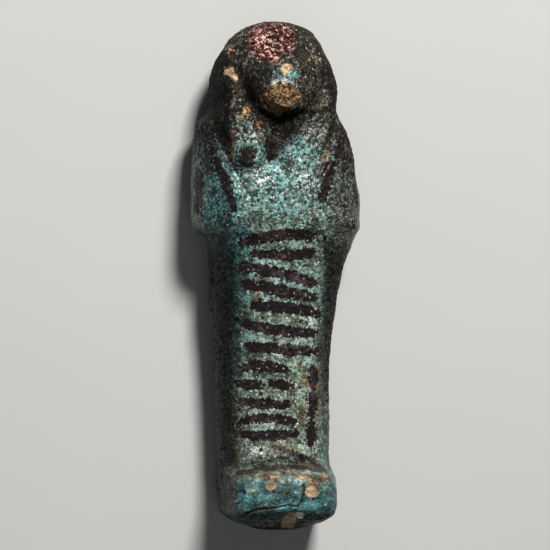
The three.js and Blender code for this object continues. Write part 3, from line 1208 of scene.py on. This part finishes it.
@dataclass(frozen=True)
class FaienceFinish:
    """Old faience: granular turquoise glaze, soil, brush paint and bare quartz body."""

    name: str = "faience_glaze"
    pale: Colour = (0.310, 0.375, 0.285)
    fresh: Colour = (0.070, 0.235, 0.245)
    worn: Colour = (0.215, 0.220, 0.178)
    soil: Colour = (0.013, 0.010, 0.007)
    pit_soil: Colour = (0.026, 0.015, 0.008)
    soil_mid: Colour = (0.060, 0.047, 0.033)
    soil_light: Colour = (0.280, 0.260, 0.215)
    iron: Colour = (0.170, 0.095, 0.036)
    tan: Colour = (0.700, 0.390, 0.180)
    ink: Colour = (0.010, 0.005, 0.006)
    ink_worn: Colour = (0.080, 0.042, 0.050)
    quartz: Colour = (0.310, 0.185, 0.090)
    quartz_dark: Colour = (0.040, 0.023, 0.011)
    sand: Colour = (0.860, 0.610, 0.390)
    pink: Colour = (0.270, 0.085, 0.068)
    # pale pink, partly painted highlight
    pale_pink_and_highlight: Colour = (0.950, 0.610, 0.500)
    maroon: Colour = (0.030, 0.008, 0.010)
    # white: painted glints and highlights, and the white chips
    white: Colour = (0.800, 0.840, 0.800)

    def build(self) -> bpy.types.Material:
        """Draw up the material.

        Returns:
            The finished material.
        """
        material = bpy.data.materials.new(self.name)
        material.use_nodes = True
        sheet = FaienceSheet(material.node_tree, self)
        painted_glint = sheet.glaze()
        covered = sheet.soil(painted_glint)
        pits = sheet.pits()
        sheet.stains()
        # How far painted shade darkens each place; the coat is dulled there as well.
        shaded = sheet.shade_and_grime()
        strokes = sheet.paint(painted_glint)
        sheet.lump()
        patch = sheet.pink()
        bare, crack = sheet.chips()

        dull = covered.high(bare).high(patch * 0.6).high(strokes * 0.6).high(pits)
        rough = 0.34 + dull * 0.42 + sheet.fine * 0.3
        gloss = (1.0 - dull * 0.9) * (0.18 + sheet.grit.step(0.5, 0.9) * 0.4) + painted_glint * 0.4
        grain = sheet.mottle * 0.62 + sheet.fine * 0.30
        grain = grain + sheet.grain_away.step(0.75, 0.10) * 0.09 + bare * sheet.mottle * 0.4
        relief = grain - pits * 0.16 - crack * 0.2
        bump = sheet.node("ShaderNodeBump", None, {"Height": relief, "Distance": MM})
        surface = sheet.node(
            "ShaderNodeBsdfPrincipled",
            None,
            {
                "Base Color": sheet.colour,
                "Roughness": rough.high(0.18).low(0.95),
                "Metallic": 0.0,
                "IOR": 1.5,
                "Specular IOR Level": 0.12,
                "Coat Weight": (gloss * (1.0 - shaded * 0.85)).low(1.0),
                "Coat Roughness": 0.3,
                "Coat IOR": 1.5,
                "Normal": bump.outputs[0],
            },
        )
        sheet.node("ShaderNodeOutputMaterial", None, {"Surface": surface.outputs[0]})
        return material


@dataclass(frozen=True)
class FloorFinish:
    """Smooth, pale, slightly uneven board."""

    name: str = "pale_board"
    colour: Colour = (0.56, 0.56, 0.545)
    shade: Colour = (0.52, 0.52, 0.505)

    def build(self) -> bpy.types.Material:
        """Draw up the material.

        Returns:
            The finished material.
        """
        material = bpy.data.materials.new(self.name)
        material.use_nodes = True
        sheet = Pattern(material.node_tree)
        sheet.measure(sheet.node("ShaderNodeTexCoord").outputs["Object"])
        shade = sheet.blend(sheet.noise(60.0, 2.0, 1.0), self.colour, self.shade)
        sockets = {"Base Color": shade, "Roughness": 0.8}
        surface = sheet.node("ShaderNodeBsdfPrincipled", None, sockets)
        sheet.node("ShaderNodeOutputMaterial", None, {"Surface": surface.outputs[0]})
        return material


# ---------------------------------------------------------------- the weathering


@dataclass(frozen=True)
class Weathering:
    """Relief that firing, burial and handling left: lumps, grains and open pits."""

    lump_size: float = 3.6
    lump_depth: float = 0.75
    grain_size: float = 0.9
    grain_depth: float = 0.42
    pit_size: float = 2.1
    pit_depth: float = 0.40
    seed: float = 7.0

    def tree(self, given: dict[str, Any]) -> tuple[bpy.types.NodeTree, dict[str, str]]:
        """Draw up the Geometry Nodes tree.

        Args:
            given: the numbers and the material that its modifier will state, by name.

        Returns:
            The tree, and the identifier of each of those inputs.
        """
        tree = bpy.data.node_groups.new("weathering", "GeometryNodeTree")
        sheet = Pattern(tree)
        face = tree.interface
        for way in ("OUTPUT", "INPUT"):
            face.new_socket("Geometry", in_out=way, socket_type="NodeSocketGeometry")
        names = {}
        for name, value in given.items():
            kind = "NodeSocketFloat" if isinstance(value, float) else "NodeSocketMaterial"
            names[name] = face.new_socket(name, in_out="INPUT", socket_type=kind).identifier

        group_in = sheet.node("NodeGroupInput")
        group_out = sheet.node("NodeGroupOutput")
        sheet.measure(sheet.node("GeometryNodeInputPosition").outputs[0])

        def stated(name: str) -> Term:
            """Return a number that the modifier states."""
            return sheet.term(group_in, name)

        def mark(which: Mark) -> Term:
            """Return a measure that the mesh carries."""
            settings, sockets = {"data_type": "FLOAT"}, {"Name": which.value}
            return sheet.term(sheet.node("GeometryNodeInputNamedAttribute", settings, sockets))

        seed = stated("Seed")
        lumps = sheet.noise(self.lump_size, 2.0, seed) - 0.5
        grain = sheet.noise(self.grain_size, 2.0, seed + 3.0, roughness=0.6) - 0.5
        away, own = sheet.grains(self.pit_size, seed + 9.0)
        wavy = away + (sheet.noise(1.0, 1.0, seed + 5.0) - 0.5) * 0.5
        pit = (own.step(0.55, 1.0) * 0.34 - wavy).step(-0.08, 0.10)
        bare = mark(Mark.BARE).step(0.1, -0.3)
        offset = (
            lumps * stated("Lump depth")
            + grain * stated("Grain depth") * (1.0 + bare * 1.6)
            - pit * stated("Pit depth")
            - mark(Mark.SINK)
        ) * mark(Mark.FREE)
        shift = sheet.scaled(sheet.node("GeometryNodeInputNormal").outputs[0], offset * MM)
        moved = sheet.node(
            "GeometryNodeSetPosition",
            None,
            {"Geometry": group_in.outputs[0], "Offset": shift},
        )
        stored = sheet.node(
            "GeometryNodeStoreNamedAttribute",
            {"data_type": "FLOAT", "domain": "POINT"},
            {"Geometry": moved.outputs[0], "Name": Mark.PIT.value, "Value": pit},
        )
        realized = sheet.node("GeometryNodeRealizeInstances", None, {0: stored.outputs[0]})
        dressed = sheet.node(
            "GeometryNodeSetMaterial",
            None,
            {"Geometry": realized.outputs[0], "Material": group_in.outputs["Glaze"]},
        )
        tree.links.new(dressed.outputs[0], group_out.inputs[0])
        return tree, names

    def apply(self, piece: bpy.types.Object, glaze: bpy.types.Material) -> None:
        """Weather a piece and leave the result as its plain mesh.

        Args:
            piece: the object to weather.
            glaze: the material it gets.
        """
        given = {
            "Lump depth": self.lump_depth,
            "Grain depth": self.grain_depth,
            "Pit depth": self.pit_depth,
            "Seed": self.seed,
            "Glaze": glaze,
        }
        tree, names = self.tree(given)
        modifier = piece.modifiers.new("weathering", "NODES")
        modifier.node_group = tree
        for name, value in given.items():
            modifier[names[name]] = value
        graph = bpy.context.evaluated_depsgraph_get()
        mesh = bpy.data.meshes.new_from_object(piece.evaluated_get(graph))
        piece.modifiers.remove(modifier)
        plain = piece.data
        piece.data = mesh
        bpy.data.meshes.remove(plain)
        mesh.name = piece.name


# ---------------------------------------------------------------- the figure


@dataclass
class Figure:
    """The ushabti itself, one piece of faience."""

    node: str = "figure"
    bands: tuple[tuple[float, float, int], ...] = (
        (0.0, 3.0, 16), (3.0, 18.0, 62), (18.0, 54.0, 118), (54.0, 87.0, 134),
    )
    crown_rings: int = 62
    sole_rings: int = 8
    segments: int = 240
    crowd: float = 0.42
    front_turn: Point = (-0.05, 0.4)
    front_crown: Point = (0.0, 0.45)
    hollow_passes: int = 12
    hollow_reach: int = 2
    hollow_depth: float = 0.28
    off_front: Point = (0.30, 0.02)
    off_flank: Point = (12.5, 9.5)
    off_gap: float = 5.0
    bed_edge: Point = (0.0, 0.9)
    sole_edge: Point = (0.02, 0.25)
    sole_soil: float = 0.3
    sole_soil_edge: Point = (0.6, 0.1)
    # How thickly painted glints lie on the back, against the front.
    glints_behind: float = 0.4
    form: BodyForm = BodyForm()
    carving: Carving = Carving()
    damage: Damage = Damage()
    painting: Painting = Painting()
    staining: Staining = Staining()
    weathering: Weathering = Weathering()

    def ring_heights(self) -> np.ndarray:
        """Return the heights of all cross-sections above the sole's edge."""
        heights = [np.zeros(1)]
        for low, high, count in self.bands:
            heights.append(np.linspace(low, high, count + 1)[1:])
        rise = np.sin(np.arange(1, self.crown_rings) / self.crown_rings * math.pi / 2)
        base = self.form.crown_base
        heights.append(base + (self.form.height - base) * rise)
        return np.concatenate(heights)

    def surface(self) -> tuple[np.ndarray, np.ndarray, np.ndarray, np.ndarray]:
        """Work out the moulded and carved surface, before it was worn.

        Returns:
            Grids of the distance aside, the height up the body, the height above the
            floor, and from 0 to 1 how far each place is on the front.
        """
        heights = self.ring_heights()
        even = 2 * math.pi * np.arange(self.segments) / self.segments
        turn, up = np.meshgrid(even - self.crowd * np.sin(even), heights)
        x, z = self.form.section(up, turn)
        front = smooth(*self.front_turn, np.cos(turn))
        facing = front * smooth(*self.front_crown, self.form.crown_share(up))
        carved = z + facing * self.carving.height(x, up)
        plane = self.damage.broken_plane(x, up)
        carved = np.minimum(carved, np.maximum(z, plane))
        return x, up, np.maximum(carved, 0.0), front

    def hollows(self, z: np.ndarray) -> np.ndarray:
        """Return from 0 to 1 how far each place lies below its surroundings.

        Args:
            z: the grid of heights above the floor.

        Returns:
            A grid of the same size.
        """
        around, reach = z, self.hollow_reach
        for _ in range(self.hollow_passes):
            sideways = np.roll(around, reach, 1) + np.roll(around, -reach, 1)
            padded = np.pad(around, ((reach, reach), (0, 0)), "edge")
            lengthways = padded[:-2 * reach] + padded[2 * reach:]
            around = (around * 2 + sideways + lengthways) / 6
        return np.clip((around - z) / self.hollow_depth, 0.0, 1.0)

    def columns(self) -> dict[str, np.ndarray]:
        """Lay out the points: the sole's rings, the body's, and a point at either end.

        Returns:
            How far aside, up and above the floor each point is, and from 0 to 1 how
            far it is on the front and in a hollow.
        """
        x, up, z, front = self.surface()
        ends = self.form.widest.at(np.array([0.0, self.form.height]))
        inner = 1.0 - np.arange(self.sole_rings - 1, 0, -1)[:, None] / self.sole_rings
        flat = np.zeros((len(inner), self.segments))
        parts = {
            "x": (x[0] * inner, x, (0.0, 0.0)),
            "up": (flat, up, (0.0, self.form.height)),
            "z": (ends[0] + (z[0] - ends[0]) * inner, z, ends),
            "front": (flat, front, (0.0, 0.5)),
            "hollow": (flat, self.hollows(z) * front, (0.0, 0.0)),
        }
        return {
            name: np.concatenate([np.ravel(part) for part in group])
            for name, group in parts.items()
        }

    def faces(self, rings: int) -> list[tuple[int, ...]]:
        """List the faces between the rings, and the fans that close both ends.

        Args:
            rings: how many rings there are. The two end points come after them.

        Returns:
            The numbers of each face's points.
        """
        here = np.arange(self.segments)
        after = (here + 1) % self.segments
        below = (np.arange(rings - 1) * self.segments)[:, None]
        above = below + self.segments
        quads = np.stack([below + here, below + after, above + after, above + here], axis=-1)
        faces = quads.reshape(-1, 4).tolist()
        sole, crown = rings * self.segments, rings * self.segments + 1
        last = sole - self.segments
        pairs = list(zip(here.tolist(), after.tolist()))
        faces += [(sole, b, a) for a, b in pairs]
        faces += [(crown, last + a, last + b) for a, b in pairs]
        return faces

    def mesh(self) -> bpy.types.Mesh:
        """Build the closed mesh of the unworn figure, with its marks.

        Returns:
            The mesh, in metres.
        """
        columns = self.columns()
        x, up, z = (columns[key] for key in ("x", "up", "z"))
        low, high = (Vector(corner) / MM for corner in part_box(self.node))
        shift = (low.x + high.x) / 2 - (x.min() + x.max()) / 2
        places = np.column_stack([x + shift, up - self.form.height / 2, z]) * MM
        rings = x.size // self.segments

        mesh = bpy.data.meshes.new(self.node)
        mesh.from_pydata(places.tolist(), [], self.faces(rings))
        mesh.update()
        mesh.shade_smooth()
        for which, values in self.marks(columns).items():
            layer = mesh.attributes.new(which.value, "FLOAT", "POINT")
            layer.data.foreach_set("value", values.astype(np.float32))
        return mesh

    def marks(self, columns: dict[str, np.ndarray]) -> dict[Mark, np.ndarray]:
        """Measure what the finish and the weathering need at every point.

        Args:
            columns: the points' places, and how far each is on the front.

        Returns:
            One number for each point and mark. Distances are in millimetres.
        """
        x, up, z, front = (columns[key] for key in ("x", "up", "z", "front"))
        damage, painting, staining = self.damage, self.painting, self.staining
        neck = self.carving.neck_opening(x, up) * front
        aside = self.off_gap * smooth(*self.off_front, front)
        edge_on = aside + self.off_gap * smooth(*self.off_flank, z)
        paint = painting.edge(x, up) + edge_on
        paint_depth = painting.depth * smooth(*painting.depth_edge, paint)
        on_sole = self.sole_soil * smooth(*self.sole_soil_edge, up)
        glints_here = mix(self.glints_behind, 1.0, front)
        return {
            Mark.PAINT: paint,
            Mark.FADED: nearest_edge(painting.faded, x, up) + edge_on,
            Mark.ARCS: nearest_edge(painting.instep, x, up) + aside,
            Mark.BARE: damage.bare(x, up) + aside,
            Mark.RIM: damage.rim(x, up) + aside,
            Mark.WHITE: damage.white_chip.edge(x, up) + aside,
            Mark.CRACK: damage.crack.away(x, up) + aside,
            Mark.DEPOSIT: np.maximum(staining.deposit(x, up, z, neck), on_sole),
            Mark.TURQUOISE: staining.turquoise(x, up),
            Mark.WORN: staining.worn(x, up, z),
            # painted shade
            Mark.SHADE_AND_GRIME: staining.shade_and_grime(x, up, z, neck),
            Mark.GRIT: staining.grit(x, up),
            Mark.SANDY: damage.sandy(x, up),
            Mark.HEART: staining.pink_heart.at(x, up),
            Mark.RUST: staining.rust(x, up) * front,
            Mark.TAN: staining.tan(x, up) * front,
            Mark.PINK: staining.pink_patch.edge(x, up) + aside,
            Mark.DARK: staining.dark_spot.edge(x, up) + aside,
            # painted glints
            Mark.PAINTED_GLINTS: staining.painted_glints(x, up) * glints_here,
            Mark.HOLLOW: columns["hollow"],
            Mark.SINK: paint_depth + damage.depth(x, up) * front,
            Mark.FREE: np.minimum(smooth(*self.bed_edge, z), smooth(*self.sole_edge, up)),
        }

    def build(self, glaze: bpy.types.Material) -> bpy.types.Object:
        """Make the finished figure.

        Args:
            glaze: its material.

        Returns:
            The object, riding on the frame.
        """
        piece = bpy.data.objects.new("ushabti", self.mesh())
        bpy.context.scene.collection.objects.link(piece)
        self.weathering.apply(piece, glaze)
        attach(piece, "root")
        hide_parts(self.node)
        return piece


# ---------------------------------------------------------------- the studio


@dataclass(frozen=True)
class Lamp:
    """A soft square light that faces the figure."""

    name: str
    place: tuple[float, float, float]
    size: float
    power: float
    tint: Colour = (1.0, 1.0, 1.0)

    def build(self, target: Vector) -> bpy.types.Object:
        """Hang the light.

        Args:
            target: the point that it faces.

        Returns:
            The light's object.
        """
        data = bpy.data.lights.new(self.name, "AREA")
        data.size = self.size
        data.energy = self.power
        data.color = self.tint
        lamp = bpy.data.objects.new(self.name, data)
        place = Vector(self.place)
        turn = (place - target).to_track_quat("Z", "Y").to_matrix().to_4x4()
        lamp.matrix_world = Matrix.Translation(place) @ turn
        bpy.context.scene.collection.objects.link(lamp)
        return lamp


@dataclass(frozen=True)
class Studio:
    """The floor, the lights and the camera that looks down on the figure."""

    floor_size: float = 2.4
    floor_drop: float = 0.00005
    lamps: tuple[Lamp, ...] = (
        Lamp("key_light", (0.11, 0.46, 0.62), 0.16, 8.2, (1.0, 0.985, 0.96)),
        Lamp("fill_light", (-0.10, -0.40, 0.85), 0.60, 0.6, (0.95, 0.98, 1.0)),
    )
    sky: Colour = (0.045, 0.046, 0.048)
    turned: float = math.radians(10.0)
    distance: float = 1.0
    lens: float = 331.2
    aim: tuple[float, float, float] = (0.0, 0.0, 0.011)

    def build_floor(self, board: bpy.types.Material) -> bpy.types.Object:
        """Lay the floor that the figure rests on.

        Args:
            board: its material.

        Returns:
            The floor's object.
        """
        half = self.floor_size / 2
        corners = [(-half, -half), (half, -half), (half, half), (-half, half)]
        mesh = bpy.data.meshes.new("floor")
        mesh.from_pydata([(x, y, -self.floor_drop) for x, y in corners], [], [(0, 1, 2, 3)])
        mesh.materials.append(board)
        floor = bpy.data.objects.new("floor", mesh)
        bpy.context.scene.collection.objects.link(floor)
        return floor

    def build_camera(self) -> bpy.types.Object:
        """Set up the camera above the figure, with the crown at the top of the view.

        Returns:
            The camera's object.
        """
        data = bpy.data.cameras.new("camera")
        data.lens = self.lens
        data.sensor_width = 36.0
        data.clip_start = 0.01
        camera = bpy.data.objects.new("camera", data)
        back = Vector((-math.sin(self.turned), 0.0, math.cos(self.turned)))
        right = Vector((0.0, 1.0, 0.0)).cross(back)
        turn = Matrix((right, back.cross(right), back)).transposed().to_4x4()
        camera.matrix_world = Matrix.Translation(Vector(self.aim) + back * self.distance) @ turn
        bpy.context.scene.collection.objects.link(camera)
        bpy.context.scene.camera = camera
        return camera

    def build(self, board: bpy.types.Material) -> list[bpy.types.Object]:
        """Build everything around the figure.

        Args:
            board: the floor's material.

        Returns:
            The floor, camera and lights.
        """
        world = bpy.data.worlds.new("studio")
        world.use_nodes = True
        background = world.node_tree.nodes["Background"]
        background.inputs["Color"].default_value = (*self.sky, 1.0)
        bpy.context.scene.world = world
        bpy.context.scene.view_settings.view_transform = "Standard"
        lamps = [lamp.build(Vector(self.aim)) for lamp in self.lamps]
        return [self.build_floor(board), self.build_camera(), *lamps]


def main() -> None:
    """Build the figure and the studio around it."""
    logging.basicConfig(level=logging.INFO, format="%(name)s: %(message)s")
    for thing in Studio().build(FloorFinish().build()):
        log.info("studio: %s", thing.name)
    figure = Figure().build(FaienceFinish().build())
    log.info("piece: %s, %d faces", figure.name, len(figure.data.polygons))


if __name__ == "__main__":
    main()
